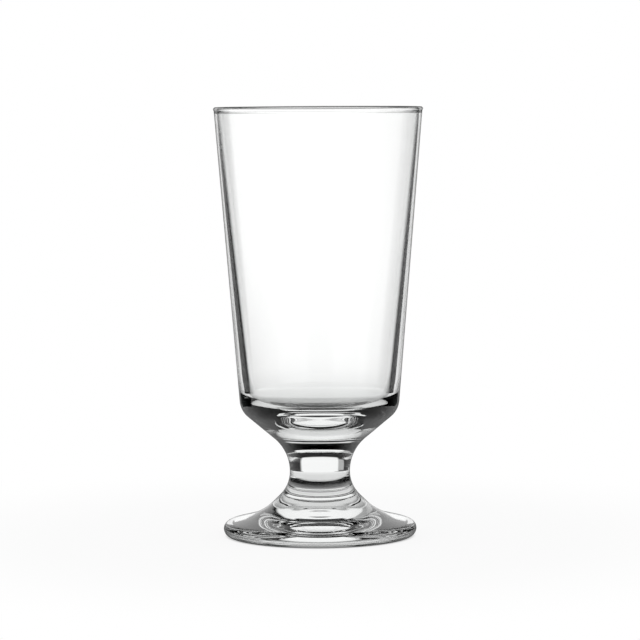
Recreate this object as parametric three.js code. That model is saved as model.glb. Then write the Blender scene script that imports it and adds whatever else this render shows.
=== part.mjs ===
// A footed highball glass: a tall tapered bowl on a short waisted stem and a round foot.
// The three pieces are formed apart and fused hot, so they meet face to face at two flat seams.
// Millimetres and degrees, +Z up. The origin is the centre of the ring that the glass stands on.
import * as THREE from "three";

// The whole glass
const GLASS_HEIGHT = 151;

// The bowl
const RIM_DIAMETER = 73; // outside, at the top of the straight wall
const RIM_BEAD_DIAMETER = 1.4; // the lip that fire polishing rounds and swells
const WALL_AT_RIM = 0.95;
const WALL_AT_SHOULDER = 4.2;
const SHOULDER_DIAMETER = 55.7; // outside, where the wall and the cone below it would meet in a corner
const SHOULDER_RADIUS = 7.8;
const CONE_ANGLE = 40; // underside of the bowl, up from the horizontal
const FLOOR_THICKNESS = 7.2; // on the axis, from the stem's seam to the inside of the bowl
const FLOOR_RADIUS = 60; // the dished inside of the bottom
const INNER_CORNER_RADIUS = 7.5; // between the floor and the inside wall

// The stem
const WAIST_DIAMETER = 21.2;
const UPPER_FLARE_RADIUS = 15.5;
const LOWER_FLARE_RADIUS = 11.8;

// The foot
const FOOT_DIAMETER = 68;
const FOOT_EDGE_THICKNESS = 5.25; // a full round
const FOOT_SLOPE = 14.3; // top of the foot, up from the horizontal
const FLARE_ANGLE = 44.4; // where the flare meets the stem, up from the horizontal
const FLARE_LENGTH = 3.3; // the straight stretch of the flare below the stem
const FOOT_FILLET_RADIUS = 21; // between the flare and the top of the foot
const RESTING_RING_WIDTH = 1.6; // the flat ring that touches the table
const UNDERSIDE_RISE = 2.2; // how far the underside is hollowed at its centre

// How finely round shapes are cut into facets
const TURN_SEGMENTS = 72;
const ARC_STEP = 11; // degrees of an arc for each facet
const DISH_FACETS = 5; // across a shallow dish, from its centre to its edge

const glass = new THREE.MeshStandardMaterial({
  name: "clear_glass",
  color: 0xf2f5f4,
  roughness: 0.02,
  metalness: 0,
  transparent: true,
  opacity: 0.35,
});

const radians = THREE.MathUtils.degToRad;
const degrees = THREE.MathUtils.radToDeg;
const sine = (angle) => Math.sin(radians(angle));
const cosine = (angle) => Math.cos(radians(angle));
const at = (r, z) => new THREE.Vector2(r, z);

/** Points of an arc about a centre, from one angle to another. Angle 0 points away from the axis. */
function arc(centre, radius, from, to, fewest = 2) {
  const curve = new THREE.EllipseCurve(
    centre.x, centre.y, radius, radius, radians(from), radians(to), to < from,
  );
  return curve.getPoints(Math.max(fewest, Math.ceil(Math.abs(to - from) / ARC_STEP)));
}

/** The angle at which a point lies, seen from a centre. */
function angleOf(point, centre) {
  return degrees(Math.atan2(point.y - centre.y, point.x - centre.x));
}

/** Turns a profile of (radius, height) points about +Z. */
function turned(name, profile, seatHeight) {
  const geometry = new THREE.LatheGeometry(profile, TURN_SEGMENTS);
  geometry.rotateX(Math.PI / 2);
  const piece = new THREE.Mesh(geometry, glass);
  piece.name = name;
  piece.position.z = seatHeight;
  return piece;
}

// The two seams
const footSeamRadius = WAIST_DIAMETER / 2 + LOWER_FLARE_RADIUS * (1 - sine(FLARE_ANGLE));
const bowlSeamRadius = WAIST_DIAMETER / 2 + UPPER_FLARE_RADIUS * (1 - sine(CONE_ANGLE));
const waistHeight = LOWER_FLARE_RADIUS * cosine(FLARE_ANGLE); // above the foot's seam
const stemLength = waistHeight + UPPER_FLARE_RADIUS * cosine(CONE_ANGLE);

/** The foot, from the middle of its hollow underside, round its edge and up the flare to the seam. */
function footProfile() {
  const edgeRadius = FOOT_EDGE_THICKNESS / 2;
  const edgeCentre = at(FOOT_DIAMETER / 2 - edgeRadius, edgeRadius);
  const hollowRadius = edgeCentre.x - RESTING_RING_WIDTH;
  const domeRadius = (hollowRadius ** 2 + UNDERSIDE_RISE ** 2) / (2 * UNDERSIDE_RISE);
  const domeCentre = at(0, UNDERSIDE_RISE - domeRadius);
  const hollowEdge = angleOf(at(hollowRadius, 0), domeCentre);
  const hollow = arc(domeCentre, domeRadius, 90, hollowEdge, DISH_FACETS);
  hollow[0].x = 0;
  hollow.at(-1).y = 0;
  const edge = arc(edgeCentre, edgeRadius, -90, 90 - FOOT_SLOPE);
  const edgeTop = edge.at(-1);

  const turn = sine(FLARE_ANGLE) - sine(FOOT_SLOPE);
  const run = edgeTop.x - footSeamRadius - FLARE_LENGTH * cosine(FLARE_ANGLE);
  const filletRadius = Math.min(FOOT_FILLET_RADIUS, run / turn);
  const slope = run - filletRadius * turn;
  const filletStart = at(edgeTop.x - slope, edgeTop.y + slope * Math.tan(radians(FOOT_SLOPE)));
  const filletCentre = at(
    filletStart.x + filletRadius * sine(FOOT_SLOPE),
    filletStart.y + filletRadius * cosine(FOOT_SLOPE),
  );
  const fillet = arc(filletCentre, filletRadius, 270 - FOOT_SLOPE, 270 - FLARE_ANGLE);
  const seamHeight = fillet.at(-1).y + FLARE_LENGTH * sine(FLARE_ANGLE);
  return [...hollow, ...edge, ...fillet, at(footSeamRadius, seamHeight), at(0, seamHeight)];
}

/** The stem, from the foot's seam in to the waist and out again to the bowl's seam. */
function stemProfile() {
  const waistRadius = WAIST_DIAMETER / 2;
  const lower = arc(
    at(waistRadius + LOWER_FLARE_RADIUS, waistHeight), LOWER_FLARE_RADIUS, 270 - FLARE_ANGLE, 180,
  );
  const upper = arc(
    at(waistRadius + UPPER_FLARE_RADIUS, waistHeight), UPPER_FLARE_RADIUS, 180, 90 + CONE_ANGLE,
  );
  lower[0].y = 0;
  upper.at(-1).y = stemLength;
  return [at(0, 0), ...lower, ...upper.slice(1), at(0, stemLength)];
}

/** The bowl, from its seam up the cone and the wall, over the lip and down to the middle of its floor. */
function bowlProfile(bowlHeight) {
  const beadRadius = RIM_BEAD_DIAMETER / 2;
  const bead = at((RIM_DIAMETER - WALL_AT_RIM) / 2, bowlHeight - beadRadius);
  const beadStart = degrees(Math.acos(WALL_AT_RIM / RIM_BEAD_DIAMETER));
  const lip = arc(bead, beadRadius, -beadStart, 180 + beadStart);

  const corner = at(
    SHOULDER_DIAMETER / 2,
    (SHOULDER_DIAMETER / 2 - bowlSeamRadius) * Math.tan(radians(CONE_ANGLE)),
  );
  const wallAngle = angleOf(lip[0], corner);
  const shoulderReach = SHOULDER_RADIUS * Math.tan(radians((wallAngle - CONE_ANGLE) / 2));
  const shoulderCentre = at(
    corner.x - shoulderReach * cosine(CONE_ANGLE) - SHOULDER_RADIUS * sine(CONE_ANGLE),
    corner.y - shoulderReach * sine(CONE_ANGLE) + SHOULDER_RADIUS * cosine(CONE_ANGLE),
  );
  const shoulder = arc(shoulderCentre, SHOULDER_RADIUS, CONE_ANGLE - 90, wallAngle - 90);

  const innerFoot = at(SHOULDER_DIAMETER / 2 - WALL_AT_SHOULDER, corner.y);
  const innerAngle = angleOf(lip.at(-1), innerFoot);
  const floorCentre = at(0, FLOOR_THICKNESS + FLOOR_RADIUS);
  const offset = at(
    innerFoot.x - INNER_CORNER_RADIUS * sine(innerAngle),
    innerFoot.y + INNER_CORNER_RADIUS * cosine(innerAngle),
  ).sub(floorCentre);
  const along = offset.x * cosine(innerAngle) + offset.y * sine(innerAngle);
  const gap = FLOOR_RADIUS - INNER_CORNER_RADIUS;
  const climb = -along - Math.sqrt(along ** 2 - offset.lengthSq() + gap ** 2);
  const cornerCentre = offset.clone().add(floorCentre);
  cornerCentre.x += climb * cosine(innerAngle);
  cornerCentre.y += climb * sine(innerAngle);
  const floorAngle = angleOf(cornerCentre, floorCentre);
  const innerCorner = arc(cornerCentre, INNER_CORNER_RADIUS, innerAngle - 90, floorAngle);
  const floor = arc(floorCentre, FLOOR_RADIUS, floorAngle, -90, DISH_FACETS);
  floor.at(-1).x = 0;
  return [at(0, 0), at(bowlSeamRadius, 0), ...shoulder, ...lip, ...innerCorner, ...floor.slice(1)];
}

const footPoints = footProfile();
const footHeight = footPoints.at(-1).y;
const bowlHeight = GLASS_HEIGHT - footHeight - stemLength;

const footedHighball = new THREE.Group();
footedHighball.name = "footed_highball";
footedHighball.add(
  turned("foot", footPoints, 0),
  turned("stem", stemProfile(), footHeight),
  turned("bowl", bowlProfile(bowlHeight), footHeight + stemLength),
);

export default footedHighball;
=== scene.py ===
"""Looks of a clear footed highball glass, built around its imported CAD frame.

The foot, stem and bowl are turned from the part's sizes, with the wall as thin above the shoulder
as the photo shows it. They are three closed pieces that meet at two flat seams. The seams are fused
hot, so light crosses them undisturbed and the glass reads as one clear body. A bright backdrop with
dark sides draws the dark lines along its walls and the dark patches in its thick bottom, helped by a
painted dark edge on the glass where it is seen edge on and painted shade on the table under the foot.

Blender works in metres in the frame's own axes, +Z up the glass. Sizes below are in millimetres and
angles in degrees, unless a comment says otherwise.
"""

from __future__ import annotations

import logging
import math
from collections.abc import Mapping
from dataclasses import dataclass, field
from enum import Enum
from typing import Union

import bmesh
import bpy
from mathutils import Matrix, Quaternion, Vector

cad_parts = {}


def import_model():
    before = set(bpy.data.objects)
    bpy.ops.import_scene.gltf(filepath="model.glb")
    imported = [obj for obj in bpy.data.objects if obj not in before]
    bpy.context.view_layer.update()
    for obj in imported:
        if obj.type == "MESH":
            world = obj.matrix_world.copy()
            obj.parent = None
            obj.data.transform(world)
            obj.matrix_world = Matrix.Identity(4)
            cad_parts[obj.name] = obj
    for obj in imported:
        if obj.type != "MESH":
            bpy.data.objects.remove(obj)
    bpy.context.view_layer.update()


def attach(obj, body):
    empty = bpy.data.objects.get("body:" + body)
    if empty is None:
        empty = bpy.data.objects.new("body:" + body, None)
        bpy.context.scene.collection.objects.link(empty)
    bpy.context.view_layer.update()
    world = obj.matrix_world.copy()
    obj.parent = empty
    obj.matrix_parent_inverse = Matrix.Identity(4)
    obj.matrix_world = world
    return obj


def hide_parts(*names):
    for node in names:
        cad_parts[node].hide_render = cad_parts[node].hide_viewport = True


LOG = logging.getLogger("footed_highball")
MM = 0.001
IMAGE_SIDE = 640
SENSOR_WIDTH = 36.0
LIGHT_BOUNCES = 32
BODY = "root"

Point = tuple[float, float]
Colour = tuple[float, float, float, float]
Term = Union["Value", float]

WHITE: Colour = (1.0, 1.0, 1.0, 1.0)


class Value:
    """A number on a node's output, so that node maths reads as a Python expression."""

    def __init__(self, graph: Graph, socket: bpy.types.NodeSocket) -> None:
        """Wraps one output socket of a graph."""
        self.graph = graph
        self.socket = socket

    def __add__(self, other: Term) -> Value:
        """Adds two numbers."""
        return self.graph.math("ADD", self, other)

    def __radd__(self, other: Term) -> Value:
        """Adds two numbers."""
        return self.graph.math("ADD", other, self)

    def __sub__(self, other: Term) -> Value:
        """Takes the other number away."""
        return self.graph.math("SUBTRACT", self, other)

    def __rsub__(self, other: Term) -> Value:
        """Takes this number away from the other."""
        return self.graph.math("SUBTRACT", other, self)

    def __mul__(self, other: Term) -> Value:
        """Multiplies two numbers."""
        return self.graph.math("MULTIPLY", self, other)

    def __rmul__(self, other: Term) -> Value:
        """Multiplies two numbers."""
        return self.graph.math("MULTIPLY", other, self)

    def __truediv__(self, other: Term) -> Value:
        """Divides by the other number."""
        return self.graph.math("DIVIDE", self, other)

    def __pow__(self, other: Term) -> Value:
        """Raises this number to a power."""
        return self.graph.math("POWER", self, other)

    def __abs__(self) -> Value:
        """Drops the sign."""
        return self.graph.math("ABSOLUTE", self)

    def larger(self, other: Term) -> Value:
        """The larger of two numbers."""
        return self.graph.math("MAXIMUM", self, other)

    def rise(self, low: float, high: float) -> Value:
        """Climbs smoothly from 0 to 1.

        Args:
            low: Where it still is 0.
            high: Where it has reached 1.

        Returns:
            The smooth step.
        """
        node = self.graph.node(
            "ShaderNodeMapRange",
            {"interpolation_type": "SMOOTHSTEP"},
            {"Value": self, "From Min": low, "From Max": high},
        )
        return self.graph.value(node, "Result")


class Graph:
    """A node tree that is filled by short calls."""

    # Colour sockets of a Mix node go by number, because each kind of data repeats their names.
    MIX_SHARE = 0
    MIX_FIRST = 6
    MIX_SECOND = 7
    MIX_RESULT = 2

    def __init__(self, tree: bpy.types.NodeTree) -> None:
        """Empties a tree and takes it over."""
        tree.nodes.clear()
        self.tree = tree

    def node(
        self,
        kind: str,
        settings: Mapping[str, object] | None = None,
        inputs: Mapping[str | int, object] | None = None,
    ) -> bpy.types.Node:
        """Adds a node.

        Args:
            kind: The node's type.
            settings: The node's own properties, which are set first.
            inputs: Values, wrapped numbers or output sockets, by input name or number.

        Returns:
            The new node.
        """
        made = self.tree.nodes.new(kind)
        for name, setting in (settings or {}).items():
            setattr(made, name, setting)
        for key, given in (inputs or {}).items():
            socket = made.inputs[key]
            if isinstance(given, Value):
                self.tree.links.new(given.socket, socket)
            elif isinstance(given, bpy.types.NodeSocket):
                self.tree.links.new(given, socket)
            else:
                socket.default_value = given
        return made

    def math(self, operation: str, *terms: Term) -> Value:
        """Adds a Math node.

        Args:
            operation: The node's operation.
            terms: Its numbers, in order.

        Returns:
            The result.
        """
        node = self.node("ShaderNodeMath", {"operation": operation}, dict(enumerate(terms)))
        return Value(self, node.outputs[0])

    def value(self, node: bpy.types.Node, output: str) -> Value:
        """Wraps a node's output."""
        return Value(self, node.outputs[output])

    def axes(self, vector: bpy.types.NodeSocket) -> tuple[Value, Value, Value]:
        """Takes a vector apart.

        Args:
            vector: The socket that gives it.

        Returns:
            Its x, y and z.
        """
        parts = self.node("ShaderNodeSeparateXYZ", inputs={0: vector})
        return self.value(parts, "X"), self.value(parts, "Y"), self.value(parts, "Z")

    def blend(self, share: Value, first: Colour, second: Colour) -> bpy.types.NodeSocket:
        """Mixes two colours.

        Args:
            share: Share of the second colour.
            first: The colour at share 0.
            second: The colour at share 1.

        Returns:
            The socket that gives the mixed colour.
        """
        inputs = {self.MIX_SHARE: share, self.MIX_FIRST: first, self.MIX_SECOND: second}
        return self.node("ShaderNodeMix", {"data_type": "RGBA"}, inputs).outputs[self.MIX_RESULT]


class Ray(Enum):
    """Kinds of ray that the surroundings answer differently, by their Light Path output."""

    CAMERA = "Is Camera Ray"
    DIFFUSE = "Is Diffuse Ray"


@dataclass(frozen=True)
class Arc:
    """A stretch of a circle in a profile. Angle 0 points away from the axis."""

    centre: Point
    radius: float
    start: float
    end: float

    def points(self, step: float = 2.0, fewest: int = 6) -> list[Point]:
        """Cuts the arc into short chords.

        Args:
            step: Largest angle of a chord.
            fewest: Fewest chords.

        Returns:
            The points from start to end.
        """
        sweep = self.end - self.start
        count = max(fewest, math.ceil(abs(sweep) / step))
        turns = [math.radians(self.start + sweep * i / count) for i in range(count + 1)]
        r, z = self.centre
        return [(r + self.radius * math.cos(turn), z + self.radius * math.sin(turn)) for turn in turns]


def sine(angle: float) -> float:
    """Sine of an angle in degrees."""
    return math.sin(math.radians(angle))


def cosine(angle: float) -> float:
    """Cosine of an angle in degrees."""
    return math.cos(math.radians(angle))


def tangent(angle: float) -> float:
    """Tangent of an angle in degrees."""
    return math.tan(math.radians(angle))


def angle_of(point: Point, centre: Point) -> float:
    """Angle in degrees at which a point lies, seen from a centre."""
    return math.degrees(math.atan2(point[1] - centre[1], point[0] - centre[0]))


def straight(start: Point, end: Point, count: int) -> list[Point]:
    """Points strictly between two points.

    Args:
        start: The first end.
        end: The other end.
        count: How many stretches the line is cut into.

    Returns:
        The points between the ends.
    """
    shares = [i / count for i in range(1, count)]
    return [(start[0] + (end[0] - start[0]) * s, start[1] + (end[1] - start[1]) * s) for s in shares]


@dataclass(frozen=True)
class EdgeChange:
    """A change of the painted dark edge's width over a stretch of the glass's height."""

    low: float
    high: float
    change: float


@dataclass(frozen=True)
class ClearGlass:
    """Fire-polished soda-lime glass: clear in its thin wall, greyer in its thick parts.

    From outside it carries a painted dark edge where it is seen edge on, a stand-in for the dark
    surroundings that real glass would refract there, and a painted dark line on the inside of the lip.
    The width of that edge is the cosine of the angle at which it begins. It starts with the width at
    the table and changes on the way up.
    """

    ior: float = 1.52
    gloss: Colour = (0.35, 0.35, 0.35, 1.0)
    thin_colour: Colour = (0.992, 0.995, 0.993, 1.0)
    thick_colour: Colour = (0.85, 0.86, 0.855, 1.0)
    thick_to: float = 38.0
    thin_from: float = 62.0
    # Painted dark edge where the glass is seen edge on, standing in for dark surroundings refracted
    # there.
    painted_edge_colour: Colour = (0.03, 0.032, 0.032, 1.0)
    painted_edge_width: float = 1.5
    painted_edge_changes: tuple[EdgeChange, ...] = (
        EdgeChange(low=0.5, high=1.2, change=-0.9),
        EdgeChange(low=3.5, high=5.2, change=-0.5),
        EdgeChange(low=11.0, high=15.0, change=0.4),
        EdgeChange(low=44.0, high=60.0, change=-0.24),
        EdgeChange(low=148.7, high=149.1, change=0.75),
        EdgeChange(low=149.3, high=149.8, change=-0.55),
    )
    plain_cosine: float = 0.5  # the blend at which Facing is 1 less the cosine
    # Painted dark line on the inside of the lip: a wider painted dark edge there.
    painted_lip_line: EdgeChange = EdgeChange(low=149.2, high=149.7, change=1.0)
    lip_lean: float = 15.0  # how far towards the axis the lip leans where that change is whole
    ring_pitch: float = 4.5
    ring_reach: float = 15.0
    ring_depth: float = 14.0  # against the ripple's 1
    ring_top: float = 2.5
    ring_fade: float = 0.5
    ripple_size: float = 9.0
    ripple_detail: float = 2.0
    ripple_strength: float = 0.05
    ripple_height: float = 0.1

    def _relief(self, graph: Graph, place: bpy.types.NodeSocket) -> bpy.types.NodeSocket:
        """A slight ripple all over, and faint rings under the middle of the foot.

        Args:
            graph: The material's nodes.
            place: The socket that gives the place on the glass.

        Returns:
            The socket that gives the surface's normal.
        """
        ripple = graph.node(
            "ShaderNodeTexNoise",
            inputs={
                "Vector": place,
                "Scale": 1 / (self.ripple_size * MM),
                "Detail": self.ripple_detail,
            },
        )
        x, y, height = graph.axes(place)
        distance = (x**2.0 + y**2.0) ** 0.5
        below = 1 - height.rise(self.ring_top * MM, (self.ring_top + self.ring_fade) * MM)
        under = (1 - distance.rise(0.0, self.ring_reach * MM)) * below
        waves = graph.math("SINE", distance * (math.tau / (self.ring_pitch * MM)))
        rings = waves * under * self.ring_depth
        bump = graph.node(
            "ShaderNodeBump",
            inputs={
                "Strength": self.ripple_strength,
                "Distance": self.ripple_height * MM,
                "Height": graph.value(ripple, "Fac") + rings,
            },
        )
        return bump.outputs["Normal"]

    def _painted_dark_edge(self, graph: Graph, place: bpy.types.NodeSocket) -> Value:
        """How much painted dark edge the outside gets where it is seen edge on, and on the inner lip.

        Args:
            graph: The material's nodes.
            place: The socket that gives the place on the glass.

        Returns:
            The share of the painted edge colour.
        """
        x, y, height = graph.axes(place)
        width: Term = self.painted_edge_width
        for step in self.painted_edge_changes:
            width = width + height.rise(step.low * MM, step.high * MM) * step.change
        spot = graph.node("ShaderNodeNewGeometry")
        across, along, _ = graph.axes(spot.outputs["Normal"])
        # The inner face of the lip gets a wider painted dark edge, a painted dark line.
        inwards = 1 - (across * x + along * y).rise(-self.lip_lean * MM, 0.0)
        lip = self.painted_lip_line
        width = width + inwards * height.rise(lip.low * MM, lip.high * MM) * lip.change
        weight = graph.node("ShaderNodeLayerWeight", inputs={"Blend": self.plain_cosine})
        slant = 1 - graph.value(weight, "Facing")
        outside = 1 - graph.value(spot, "Backfacing")
        return (1 - slant / width).larger(0.0) * outside

    def material(self) -> bpy.types.Material:
        """Builds the finish.

        Returns:
            The material.
        """
        made = bpy.data.materials.new("clear_glass")
        made.use_nodes = True
        graph = Graph(made.node_tree)
        place = graph.node("ShaderNodeTexCoord").outputs["Object"]
        height = graph.axes(place)[2]
        thinness = height.rise(self.thick_to * MM, self.thin_from * MM)
        glass = graph.node(
            "ShaderNodeBsdfPrincipled",
            inputs={
                "Base Color": graph.blend(thinness, self.thick_colour, self.thin_colour),
                "Roughness": 0.0,
                "IOR": self.ior,
                "Specular Tint": self.gloss,
                "Transmission Weight": 1.0,
                "Normal": self._relief(graph, place),
            },
        )
        # Near-black diffuse for the painted dark edge, a stand-in for the dark surroundings seen at the
        # glass's edges.
        dark = graph.node("ShaderNodeBsdfDiffuse", inputs={"Color": self.painted_edge_colour})
        both = graph.node(
            "ShaderNodeMixShader",
            inputs={0: self._painted_dark_edge(graph, place), 1: glass.outputs["BSDF"], 2: dark.outputs["BSDF"]},
        )
        graph.node("ShaderNodeOutputMaterial", inputs={"Surface": both.outputs["Shader"]})
        return made


@dataclass(frozen=True)
class FusedSeam:
    """The plane where two pieces are melted together. Nothing of it shows."""

    def material(self) -> bpy.types.Material:
        """Builds the finish.

        Returns:
            The material.
        """
        made = bpy.data.materials.new("fused_seam")
        made.use_nodes = True
        graph = Graph(made.node_tree)
        shader = graph.node("ShaderNodeBsdfTransparent", inputs={"Color": WHITE})
        graph.node("ShaderNodeOutputMaterial", inputs={"Surface": shader.outputs["BSDF"]})
        return made


class Lathe:
    """Turns profiles about +Z with one Geometry Nodes tree, whose sizes are its named inputs."""

    NO_SEAM = -1000.0
    AXLE_RADIUS = 1.0
    POLE_GAP = 0.002
    SEAM_GAP = 0.001
    CREASE_ANGLE = 25.0

    def __init__(
        self,
        glass: bpy.types.Material,
        seam: bpy.types.Material,
        segments: int = 192,
    ) -> None:
        """Builds the tree.

        Args:
            glass: Finish of the turned surface.
            seam: Finish of the flat seam faces.
            segments: Facets around the axis.
        """
        self.glass = glass
        self.seam = seam
        self.segments = segments
        self.tree = bpy.data.node_groups.new("lathe", "GeometryNodeTree")
        self.sockets = {name: self._input(name, kind) for name, kind in self._inputs().items()}
        self.tree.interface.new_socket(name="Turned", in_out="OUTPUT", socket_type="NodeSocketGeometry")
        self._fill()

    @staticmethod
    def _inputs() -> dict[str, str]:
        """Names and kinds of the tree's inputs."""
        return {
            "Profile": "NodeSocketGeometry",
            "Segments": "NodeSocketInt",
            "Axle Radius": "NodeSocketFloat",
            "Lower Seam": "NodeSocketFloat",
            "Upper Seam": "NodeSocketFloat",
            "Glass": "NodeSocketMaterial",
            "Seam": "NodeSocketMaterial",
        }

    def _input(self, name: str, kind: str) -> str:
        """Adds an input to the tree and returns its identifier."""
        return self.tree.interface.new_socket(name=name, in_out="INPUT", socket_type=kind).identifier

    def _fill(self) -> None:
        """Adds the tree's nodes."""
        graph = Graph(self.tree)
        given = graph.node("NodeGroupInput").outputs
        turned = self._finished(graph, given, self._swept(graph, given))
        graph.node("NodeGroupOutput", inputs={"Turned": turned})

    def _swept(self, graph: Graph, given: bpy.types.NodeOutputs) -> bpy.types.NodeSocket:
        """Sweeps the profile round an axle, closes it at its poles and keeps its corners sharp.

        Args:
            graph: The tree.
            given: The tree's inputs.

        Returns:
            The socket that gives the turned mesh.
        """
        profile = graph.node("GeometryNodeMeshToCurve", inputs={"Mesh": given["Profile"]})
        axle = graph.node(
            "GeometryNodeCurvePrimitiveCircle",
            {"mode": "RADIUS"},
            {"Resolution": given["Segments"], "Radius": given["Axle Radius"]},
        )
        swept = graph.node(
            "GeometryNodeCurveToMesh",
            inputs={"Curve": axle.outputs["Curve"], "Profile Curve": profile.outputs["Curve"]},
        )
        closed = graph.node(
            "GeometryNodeMergeByDistance",
            inputs={"Geometry": swept.outputs["Mesh"], "Distance": self.POLE_GAP * MM},
        )
        smooth = graph.node(
            "GeometryNodeSetShadeSmooth",
            inputs={"Geometry": closed.outputs["Geometry"]},
        )
        bend = graph.node("GeometryNodeInputMeshEdgeAngle")
        crease = graph.node(
            "FunctionNodeCompare",
            {"data_type": "FLOAT", "operation": "GREATER_THAN"},
            {"A": bend.outputs["Unsigned Angle"], "B": math.radians(self.CREASE_ANGLE)},
        )
        creased = graph.node(
            "GeometryNodeSetShadeSmooth",
            {"domain": "EDGE"},
            {
                "Geometry": smooth.outputs["Geometry"],
                "Selection": crease.outputs["Result"],
                "Shade Smooth": False,
            },
        )
        solid = graph.node(
            "GeometryNodeRealizeInstances",
            inputs={"Geometry": creased.outputs["Geometry"]},
        )
        return solid.outputs["Geometry"]

    def _finished(
        self,
        graph: Graph,
        given: bpy.types.NodeOutputs,
        mesh: bpy.types.NodeSocket,
    ) -> bpy.types.NodeSocket:
        """Gives the turned mesh its finishes.

        Args:
            graph: The tree.
            given: The tree's inputs.
            mesh: The socket that gives the turned mesh.

        Returns:
            The socket that gives the finished mesh.
        """
        glazed = graph.node(
            "GeometryNodeSetMaterial",
            inputs={"Geometry": mesh, "Material": given["Glass"]},
        )
        place = graph.node("GeometryNodeInputPosition")
        height = graph.axes(place.outputs["Position"])[2]
        at_seam = [
            graph.node(
                "FunctionNodeCompare",
                {"data_type": "FLOAT", "operation": "EQUAL"},
                {"A": height, "B": given[name], "Epsilon": self.SEAM_GAP * MM},
            )
            for name in ("Lower Seam", "Upper Seam")
        ]
        either = graph.node(
            "FunctionNodeBooleanMath",
            {"operation": "OR"},
            {0: at_seam[0].outputs["Result"], 1: at_seam[1].outputs["Result"]},
        )
        fused = graph.node(
            "GeometryNodeSetMaterial",
            inputs={
                "Geometry": glazed.outputs["Geometry"],
                "Selection": either.outputs["Boolean"],
                "Material": given["Seam"],
            },
        )
        return fused.outputs["Geometry"]

    def turn(
        self,
        name: str,
        profile: list[Point],
        lower_seam: float = NO_SEAM,
        upper_seam: float = NO_SEAM,
    ) -> bpy.types.Object:
        """Turns one piece.

        Args:
            name: The piece's name.
            profile: Radius and height of its points, from the axis round to the axis.
            lower_seam: Height of the seam under it.
            upper_seam: Height of the seam on top of it.

        Returns:
            The piece, a closed mesh with its faces outwards.
        """
        line = bpy.data.meshes.new(name + "_profile")
        axle = self.AXLE_RADIUS * MM
        points = [(r * MM - axle, -z * MM, 0.0) for r, z in profile]
        line.from_pydata(points, [(i, i + 1) for i in range(len(points) - 1)], [])
        blank = bpy.data.objects.new(name + "_blank", line)
        bpy.context.scene.collection.objects.link(blank)
        turning = blank.modifiers.new("lathe", "NODES")
        turning.node_group = self.tree
        settings = {
            "Segments": self.segments,
            "Axle Radius": axle,
            "Lower Seam": lower_seam * MM,
            "Upper Seam": upper_seam * MM,
            "Glass": self.glass,
            "Seam": self.seam,
        }
        for label, setting in settings.items():
            turning[self.sockets[label]] = setting
        graph = bpy.context.evaluated_depsgraph_get()
        mesh = bpy.data.meshes.new_from_object(blank.evaluated_get(graph), depsgraph=graph)
        mesh.name = name
        bpy.data.objects.remove(blank)
        bpy.data.meshes.remove(line)
        self._face_outwards(mesh)
        piece = bpy.data.objects.new(name, mesh)
        bpy.context.scene.collection.objects.link(piece)
        return piece

    @staticmethod
    def _face_outwards(mesh: bpy.types.Mesh) -> None:
        """Turns a closed mesh's faces outwards.

        Args:
            mesh: The mesh, which is changed in place.
        """
        work = bmesh.new()
        work.from_mesh(mesh)
        bmesh.ops.recalc_face_normals(work, faces=work.faces)
        work.to_mesh(mesh)
        work.free()


@dataclass
class Stem:
    """The short waisted stem between the foot's seam and the bowl's seam."""

    waist_diameter: float = 21.2
    upper_flare_radius: float = 15.5
    lower_flare_radius: float = 11.8
    cone_angle: float = 40.0
    flare_angle: float = 44.4
    piece: bpy.types.Object | None = field(default=None, init=False)

    @property
    def foot_seam_radius(self) -> float:
        """Radius where the stem meets the foot."""
        return self.waist_diameter / 2 + self.lower_flare_radius * (1 - sine(self.flare_angle))

    @property
    def bowl_seam_radius(self) -> float:
        """Radius where the stem meets the bowl."""
        return self.waist_diameter / 2 + self.upper_flare_radius * (1 - sine(self.cone_angle))

    @property
    def waist_height(self) -> float:
        """Height of the waist above the foot's seam."""
        return self.lower_flare_radius * cosine(self.flare_angle)

    @property
    def length(self) -> float:
        """Height from seam to seam."""
        return self.waist_height + self.upper_flare_radius * cosine(self.cone_angle)

    def profile(self, base: float) -> list[Point]:
        """The outline from the axis at the foot's seam to the axis at the bowl's seam.

        Args:
            base: Height of the foot's seam.

        Returns:
            Radius and height of each point.
        """
        waist = base + self.waist_height
        lower = Arc(
            (self.waist_diameter / 2 + self.lower_flare_radius, waist),
            self.lower_flare_radius,
            270 - self.flare_angle,
            180,
        ).points()
        upper = Arc(
            (self.waist_diameter / 2 + self.upper_flare_radius, waist),
            self.upper_flare_radius,
            180,
            90 + self.cone_angle,
        ).points()
        top = base + self.length
        lower[0] = (self.foot_seam_radius, base)
        upper[-1] = (self.bowl_seam_radius, top)
        return [(0.0, base), *lower, *upper[1:], (0.0, top)]

    def build(self, lathe: Lathe, base: float) -> None:
        """Turns the stem on the foot's seam."""
        self.piece = lathe.turn("glass_stem", self.profile(base), base, base + self.length)


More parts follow.
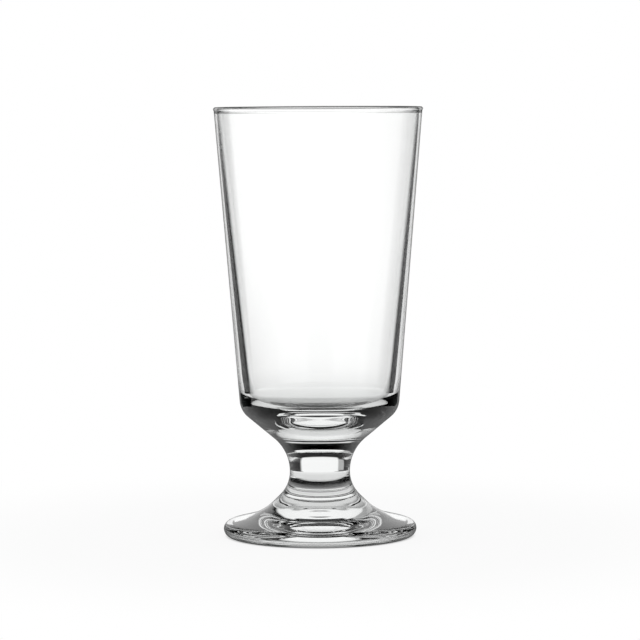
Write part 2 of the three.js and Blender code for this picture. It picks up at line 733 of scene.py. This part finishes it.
@dataclass
class Foot:
    """The round foot: a hollowed underside, a full round edge and a domed top with a flare."""

    diameter: float = 68.0
    edge_thickness: float = 5.25
    slope: float = 14.3
    flare_length: float = 3.3
    fillet_radius: float = 21.0
    resting_ring_width: float = 1.6
    underside_rise: float = 2.2
    slope_cuts: int = 5
    flare_cuts: int = 4
    height: float = field(default=0.0, init=False)
    piece: bpy.types.Object | None = field(default=None, init=False)

    def profile(self, stem: Stem) -> list[Point]:
        """The outline from the middle of the underside to the axis at the stem's seam.

        Args:
            stem: The stem that the flare runs into.

        Returns:
            Radius and height of each point.
        """
        edge_radius = self.edge_thickness / 2
        edge_centre = (self.diameter / 2 - edge_radius, edge_radius)
        hollow_radius = edge_centre[0] - self.resting_ring_width
        dome_radius = (hollow_radius**2 + self.underside_rise**2) / (2 * self.underside_rise)
        dome_centre = (0.0, self.underside_rise - dome_radius)
        hollow_end = angle_of((hollow_radius, 0.0), dome_centre)
        hollow = Arc(dome_centre, dome_radius, 90, hollow_end).points(fewest=32)
        hollow[0] = (0.0, self.underside_rise)
        edge = Arc(edge_centre, edge_radius, -90, 90 - self.slope).points(step=4)
        top = edge[-1]

        turn = sine(stem.flare_angle) - sine(self.slope)
        run = top[0] - stem.foot_seam_radius - self.flare_length * cosine(stem.flare_angle)
        radius = min(self.fillet_radius, run / turn)
        reach = run - radius * turn
        start = (top[0] - reach, top[1] + reach * tangent(self.slope))
        centre = (start[0] + radius * sine(self.slope), start[1] + radius * cosine(self.slope))
        fillet = Arc(centre, radius, 270 - self.slope, 270 - stem.flare_angle).points()
        height = fillet[-1][1] + self.flare_length * sine(stem.flare_angle)
        seam = (stem.foot_seam_radius, height)
        return [
            *hollow,
            *edge,
            *straight(top, fillet[0], self.slope_cuts),
            *fillet,
            *straight(fillet[-1], seam, self.flare_cuts),
            seam,
            (0.0, height),
        ]

    def build(self, lathe: Lathe, stem: Stem) -> None:
        """Turns the foot up to the stem's seam.

        Args:
            lathe: The lathe.
            stem: The stem that the flare runs into.
        """
        outline = self.profile(stem)
        self.height = outline[-1][1]
        self.piece = lathe.turn("glass_foot", outline, upper_seam=self.height)


@dataclass
class Bowl:
    """The tapered bowl.

    A cone on the stem, a rounded shoulder and a straight wall lead up to the polished rim. Inside,
    the wall runs down to a rounded corner and a dished floor.
    """

    top: float = 151.0
    rim_diameter: float = 73.0
    rim_bead_diameter: float = 1.4
    wall_at_rim: float = 0.95
    wall_at_shoulder: float = 3.6
    shoulder_diameter: float = 55.7
    shoulder_radius: float = 7.8
    floor_thickness: float = 7.2
    floor_radius: float = 60.0
    inner_corner_radius: float = 7.5
    cone_cuts: int = 5
    wall_cuts: int = 20
    piece: bpy.types.Object | None = field(default=None, init=False)

    def _lip(self) -> list[Point]:
        """The polished rim, from the outside of the wall to its inside.

        Returns:
            Radius and height of each point.
        """
        bead = self.rim_bead_diameter / 2
        centre = ((self.rim_diameter - self.wall_at_rim) / 2, self.top - bead)
        start = math.degrees(math.acos(self.wall_at_rim / self.rim_bead_diameter))
        return Arc(centre, bead, -start, 180 + start).points(step=9)

    def _shoulder(self, corner: Point, wall_angle: float, cone_angle: float) -> list[Point]:
        """The round between the cone and the wall.

        Args:
            corner: Where the two would meet.
            wall_angle: Slope of the wall.
            cone_angle: Slope of the cone.

        Returns:
            Radius and height of each point.
        """
        radius = self.shoulder_radius
        reach = radius * tangent((wall_angle - cone_angle) / 2)
        centre = (
            corner[0] - reach * cosine(cone_angle) - radius * sine(cone_angle),
            corner[1] - reach * sine(cone_angle) + radius * cosine(cone_angle),
        )
        return Arc(centre, radius, cone_angle - 90, wall_angle - 90).points()

    def _floor(self, base: float, inner_foot: Point, inner_angle: float) -> list[Point]:
        """The inside's rounded corner and dished floor, down to the axis.

        Args:
            base: Height of the stem's seam.
            inner_foot: Where the inside wall passes the shoulder's corner.
            inner_angle: Slope of the inside wall.

        Returns:
            Radius and height of each point.
        """
        round_radius = self.inner_corner_radius
        centre = (0.0, base + self.floor_thickness + self.floor_radius)
        offset = (
            inner_foot[0] - round_radius * sine(inner_angle) - centre[0],
            inner_foot[1] + round_radius * cosine(inner_angle) - centre[1],
        )
        along = offset[0] * cosine(inner_angle) + offset[1] * sine(inner_angle)
        gap = self.floor_radius - round_radius
        climb = -along - math.sqrt(along**2 - offset[0] ** 2 - offset[1] ** 2 + gap**2)
        corner = (
            centre[0] + offset[0] + climb * cosine(inner_angle),
            centre[1] + offset[1] + climb * sine(inner_angle),
        )
        meeting = angle_of(corner, centre)
        floor = Arc(centre, self.floor_radius, meeting, -90).points(fewest=24)
        floor[-1] = (0.0, base + self.floor_thickness)
        return [*Arc(corner, round_radius, inner_angle - 90, meeting).points(step=4), *floor[1:]]

    def profile(self, stem: Stem, base: float) -> list[Point]:
        """The outline from the axis at the stem's seam, over the rim, to the middle of the floor.

        Args:
            stem: The stem that carries the bowl.
            base: Height of its seam.

        Returns:
            Radius and height of each point.
        """
        lip = self._lip()
        outer = self.shoulder_diameter / 2
        corner = (outer, base + (outer - stem.bowl_seam_radius) * tangent(stem.cone_angle))
        seam = (stem.bowl_seam_radius, base)
        shoulder = self._shoulder(corner, angle_of(lip[0], corner), stem.cone_angle)
        inner_foot = (outer - self.wall_at_shoulder, corner[1])
        inside = self._floor(base, inner_foot, angle_of(lip[-1], inner_foot))
        return [
            (0.0, base),
            seam,
            *straight(seam, shoulder[0], self.cone_cuts),
            *shoulder,
            *straight(shoulder[-1], lip[0], self.wall_cuts),
            *lip,
            *straight(lip[-1], inside[0], self.wall_cuts),
            *inside,
        ]

    def build(self, lathe: Lathe, stem: Stem, base: float) -> None:
        """Turns the bowl on the stem's seam."""
        self.piece = lathe.turn("glass_bowl", self.profile(stem, base), lower_seam=base)


@dataclass
class Highball:
    """The whole glass, foot to rim."""

    foot: Foot = field(default_factory=Foot)
    stem: Stem = field(default_factory=Stem)
    bowl: Bowl = field(default_factory=Bowl)

    def build(self, lathe: Lathe) -> None:
        """Turns the three pieces, each on the one below.

        Args:
            lathe: The lathe, which also gives the pieces their finishes.
        """
        self.foot.build(lathe, self.stem)
        self.stem.build(lathe, self.foot.height)
        self.bowl.build(lathe, self.stem, self.foot.height + self.stem.length)

    def dress(self) -> None:
        """Puts each piece on its body and lets it stand for its CAD node."""
        pieces = {"foot": self.foot.piece, "stem": self.stem.piece, "bowl": self.bowl.piece}
        for node, piece in pieces.items():
            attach(piece, BODY)
            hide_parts(node)
            LOG.info("%s stands for %s: %d faces", piece.name, node, len(piece.data.polygons))


@dataclass(frozen=True)
class Panel:
    """A lit part of the surroundings.

    Azimuth runs from +Y towards +X, and both angles are seen from the glass. A taper narrows the
    panel upwards, by so many degrees on each side for each degree above its lower edge.
    """

    azimuth: float
    half_width: float
    low: float
    high: float
    level: float
    blur: float = 3.0
    fade: float = 3.0
    taper: float = 0.0

    def light(self, azimuth: Value, elevation: Value) -> Value:
        """How much the panel gives in each direction.

        Args:
            azimuth: The direction's azimuth.
            elevation: The direction's elevation.

        Returns:
            The level, which fades out at the panel's edges.
        """
        off = abs(azimuth.graph.math("WRAP", azimuth - self.azimuth, 180.0, -180.0))
        widened = off + (elevation - self.low) * self.taper
        across = 1 - widened.rise(self.half_width - self.blur, self.half_width + self.blur)
        below = 1 - elevation.rise(self.high - self.fade, self.high + self.fade)
        above = elevation.rise(self.low - self.fade, self.low + self.fade)
        return across * below * above * self.level


@dataclass
class Studio:
    """The surroundings: a white backdrop with dark sides. The camera itself sees plain white.

    Diffuse surfaces see one soft level all round. The veil takes its level, as a share, away from
    the panels.
    """

    dark: float = 0.01
    soft: float = 0.8
    panels: tuple[Panel, ...] = (
        Panel(azimuth=1.5, half_width=40, low=-20, high=3, level=1.1, blur=1.2, taper=1.25),
        Panel(azimuth=0, half_width=28, low=-6, high=20, level=1.1, fade=0.5),
        Panel(azimuth=0, half_width=28, low=10, high=34, level=1.1),
        Panel(azimuth=-33, half_width=8, low=-4, high=25, level=0.5, blur=2.0, fade=2.0),
        Panel(azimuth=-90, half_width=27, low=-14, high=2, level=1.05, blur=2.0, fade=1.5),
        Panel(azimuth=-45, half_width=27, low=-95, high=-17, level=1.05, blur=2.0, fade=1.5),
        Panel(azimuth=135, half_width=27, low=-95, high=30, level=1.05, blur=6.0),
        Panel(azimuth=0, half_width=200, low=-95, high=-36, level=1.05),
    )
    veil: Panel = Panel(azimuth=0, half_width=33, low=-16, high=-7, level=0.14, fade=2.0)

    def build(self) -> bpy.types.World:
        """Makes the world that holds the panels.

        Returns:
            The world.
        """
        world = bpy.data.worlds.new("studio")
        world.use_nodes = True
        graph = Graph(world.node_tree)
        place = graph.node("ShaderNodeTexCoord")
        x, y, z = graph.axes(place.outputs["Generated"])
        azimuth = graph.math("ARCTAN2", x, y) * math.degrees(1)
        elevation = graph.math("ARCSINE", z) * math.degrees(1)
        seen = self.panels[0].light(azimuth, elevation)
        for panel in self.panels[1:]:
            seen = seen.larger(panel.light(azimuth, elevation))
        seen = (seen * (1 - self.veil.light(azimuth, elevation))).larger(self.dark)
        path = graph.node("ShaderNodeLightPath")
        camera, diffuse = (graph.value(path, ray.value) for ray in Ray)
        level = camera + (1 - camera) * (diffuse * self.soft + (1 - diffuse) * seen)
        shader = graph.node("ShaderNodeBackground", inputs={"Color": level, "Strength": 1.0})
        graph.node("ShaderNodeOutputWorld", inputs={"Surface": shader.outputs["Background"]})
        bpy.context.scene.world = world
        return world


@dataclass
class Table:
    """The pale round table top. It glows white at its edge, so that it has no horizon."""

    radius: float = 200.0
    segments: int = 128
    colour: Colour = (0.92, 0.92, 0.92, 1.0)
    # Colour of the paper in the painted shade under the foot.
    painted_shade_colour: Colour = (0.28, 0.28, 0.28, 1.0)
    glow: float = 1.0
    glow_in_glass: float = 0.85
    near_share: float = 0.88
    near_to: float = 0.4  # share of the radius
    far_from: float = 0.97  # share of the radius
    # Radii in which the painted shade under the foot fades out, and the ring of the painted contact
    # shadow.
    painted_shade_inner: float = 15.0
    painted_shade_outer: float = 31.0
    painted_contact_radius: float = 32.0
    painted_contact_blur: float = 2.0
    painted_contact_share: float = 0.5

    def _finish(self) -> bpy.types.Material:
        """White paper that glows towards the table's edge, with painted shade under the foot and a
        painted contact shadow round the foot's resting edge.

        Returns:
            The material.
        """
        made = bpy.data.materials.new("white_table")
        made.use_nodes = True
        graph = Graph(made.node_tree)
        place = graph.node("ShaderNodeTexCoord")
        span = graph.node("ShaderNodeVectorMath", {"operation": "LENGTH"}, {0: place.outputs["Object"]})
        distance = graph.value(span, "Value") * (1 / MM)
        outwards = distance.rise(self.radius * self.near_to, self.radius * self.far_from)
        # Painted contact shadow: a darker ring on the paper round the foot's resting edge, with less
        # glow.
        darkening = distance.rise(self.painted_contact_radius - self.painted_contact_blur, self.painted_contact_radius)
        clearing = distance.rise(self.painted_contact_radius, self.painted_contact_radius + self.painted_contact_blur)
        painted_contact_shadow = (darkening - clearing) * self.painted_contact_share
        # Painted shade under the foot: the paper darkens and glows less towards the middle.
        clear = distance.rise(self.painted_shade_inner, self.painted_shade_outer) * (1 - painted_contact_shadow)
        share = clear * (self.near_share + (1 - self.near_share) * outwards)
        tone = graph.blend(clear, self.painted_shade_colour, self.colour)
        paper = graph.node("ShaderNodeBsdfDiffuse", inputs={"Color": tone})
        path = graph.node("ShaderNodeLightPath")
        camera = graph.value(path, Ray.CAMERA.value)
        level = self.glow_in_glass + (self.glow - self.glow_in_glass) * camera.larger(outwards)
        glow = graph.node("ShaderNodeEmission", inputs={"Color": level, "Strength": 1.0})
        both = graph.node(
            "ShaderNodeMixShader",
            inputs={0: share, 1: paper.outputs["BSDF"], 2: glow.outputs["Emission"]},
        )
        graph.node("ShaderNodeOutputMaterial", inputs={"Surface": both.outputs["Shader"]})
        return made

    def build(self) -> bpy.types.Object:
        """Makes the table top.

        Returns:
            The table.
        """
        work = bmesh.new()
        bmesh.ops.create_circle(
            work,
            cap_ends=True,
            cap_tris=True,
            segments=self.segments,
            radius=self.radius * MM,
        )
        mesh = bpy.data.meshes.new("table")
        work.to_mesh(mesh)
        work.free()
        mesh.materials.append(self._finish())
        table = bpy.data.objects.new("table", mesh)
        bpy.context.scene.collection.objects.link(table)
        return table


@dataclass(frozen=True)
class PhotoCamera:
    """The camera that took the photo, as fitted to the glass's outline."""

    distance: float = 1104.24
    height: float = 160.69
    aim_height: float = 76.2
    focal_pixels: float = 3149.0
    axis_offset: float = 0.9  # pixels
    turn: float = 0.3

    def build(self) -> bpy.types.Object:
        """Makes the camera and gives it to the scene.

        Returns:
            The camera.
        """
        data = bpy.data.cameras.new("photo_camera")
        data.sensor_width = SENSOR_WIDTH
        data.lens = self.focal_pixels / IMAGE_SIDE * SENSOR_WIDTH
        data.shift_x = self.axis_offset / IMAGE_SIDE
        camera = bpy.data.objects.new("photo_camera", data)
        camera.location = (0.0, -self.distance * MM, self.height * MM)
        aim = Vector((0.0, 0.0, self.aim_height * MM)) - camera.location
        level = aim.to_track_quat("-Z", "Y")
        turned = level @ Quaternion((0.0, 0.0, 1.0), math.radians(-self.turn))
        camera.rotation_euler = turned.to_euler()
        bpy.context.scene.collection.objects.link(camera)
        bpy.context.scene.camera = camera
        return camera


def main() -> None:
    """Builds the scene around the frame."""
    logging.basicConfig(level=logging.INFO, format="%(name)s: %(message)s")
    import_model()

    scene = bpy.context.scene
    scene.view_settings.view_transform = "Standard"
    scene.cycles.max_bounces = LIGHT_BOUNCES
    scene.cycles.transmission_bounces = LIGHT_BOUNCES
    scene.cycles.transparent_max_bounces = LIGHT_BOUNCES

    PhotoCamera().build()
    Studio().build()
    Table().build()
    lathe = Lathe(ClearGlass().material(), FusedSeam().material())
    glass = Highball()
    glass.build(lathe)
    glass.dress()


if __name__ == "__main__":
    main()
